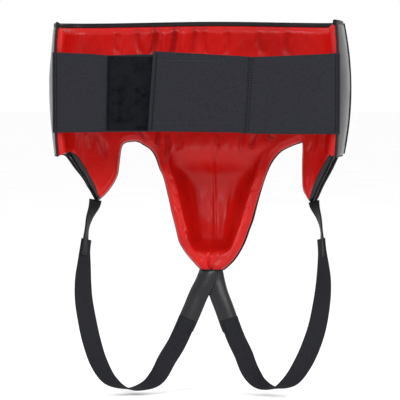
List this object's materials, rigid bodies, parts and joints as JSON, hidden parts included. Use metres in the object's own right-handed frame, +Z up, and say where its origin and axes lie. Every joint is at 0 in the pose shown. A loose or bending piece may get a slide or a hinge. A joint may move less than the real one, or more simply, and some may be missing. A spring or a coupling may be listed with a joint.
{
  "type": "groin protector",
  "caption": "Padded groin and hip protector with a moulded cup pouch, a wide elastic waist belt with a hook-and-loop flap, and elastic leg straps.",
  "frame": {"origin": "centre of the waist ring, at the middle height of the waist belt", "axes": "+Z up, +Y towards the wearer's front, +X towards the wearer's right"},
  "size_m": [0.382, 0.1763, 0.4683],
  "materials": {
    "red_leather": "smooth synthetic leather, semi-gloss",
    "black_leather": "smooth synthetic leather, glossy",
    "black_binding": "folded leather and tape edge",
    "padding_foam": "closed-cell foam",
    "cup_plastic": "moulded hard shell",
    "belt_elastic": "woven elastic",
    "leg_webbing": "woven elastic webbing",
    "loop_fabric": "brushed loop pile",
    "hook_tape": "moulded hook tape"
  },
  "bodies": {
    "body": {"belly_outer_panel": "black_leather", "left_hip_outer_panel": "black_leather", "right_hip_outer_panel": "black_leather", "pouch_outer_panel": "black_leather", "belly_foam": "padding_foam", "left_hip_foam": "padding_foam", "right_hip_foam": "padding_foam", "pouch_foam": "padding_foam", "groin_cup": "cup_plastic", "belly_lining": "red_leather", "left_hip_lining": "red_leather", "right_hip_lining": "red_leather", "left_pouch_lining": "red_leather", "right_pouch_lining": "red_leather", "left_rim_roll": "red_leather", "right_rim_roll": "red_leather", "top_binding": "black_binding", "left_end_binding": "black_binding", "right_end_binding": "black_binding", "left_leg_binding": "black_binding", "right_leg_binding": "black_binding", "left_crotch_strap": "black_leather", "right_crotch_strap": "black_leather", "left_hanger_strap": "black_leather", "right_hanger_strap": "black_leather"},
    "left_belt": {"left_belt_elastic": "belt_elastic", "loop_patch": "loop_fabric"},
    "right_belt": {"right_belt_elastic": "belt_elastic"},
    "closure_flap": {"closure_flap": "belt_elastic", "hook_patch": "hook_tape"},
    "left_leg_loop": {"left_leg_elastic": "leg_webbing"},
    "right_leg_loop": {"right_leg_elastic": "leg_webbing"}
  },
  "joints": [
    {"name": "left_belt_swing", "type": "hinge", "parent": "body", "child": "left_belt", "pos_m": [-0.16013, -0.0782, 0], "axis": [0, 0, 1], "range_deg": [0, 35]},
    {"name": "right_belt_swing", "type": "hinge", "parent": "body", "child": "right_belt", "pos_m": [0.16013, -0.0833, 0], "axis": [0, 0, 1], "range_deg": [0, 110]},
    {"name": "closure_flap_peel", "type": "hinge", "parent": "right_belt", "child": "closure_flap", "pos_m": [0.06675, -0.0843, 0], "axis": [0, 0, 1], "range_deg": [0, 160]},
    {"name": "left_leg_loop_swing", "type": "hinge", "parent": "body", "child": "left_leg_loop", "pos_m": [-0.15005, 0.011, -0.203], "axis": [0.7889, 0.0825, -0.6089], "range_deg": [-25, 25]},
    {"name": "right_leg_loop_swing", "type": "hinge", "parent": "body", "child": "right_leg_loop", "pos_m": [0.15605, 0.011, -0.203], "axis": [-0.7537, 0.1054, -0.6487], "range_deg": [-25, 25]}
  ]
}
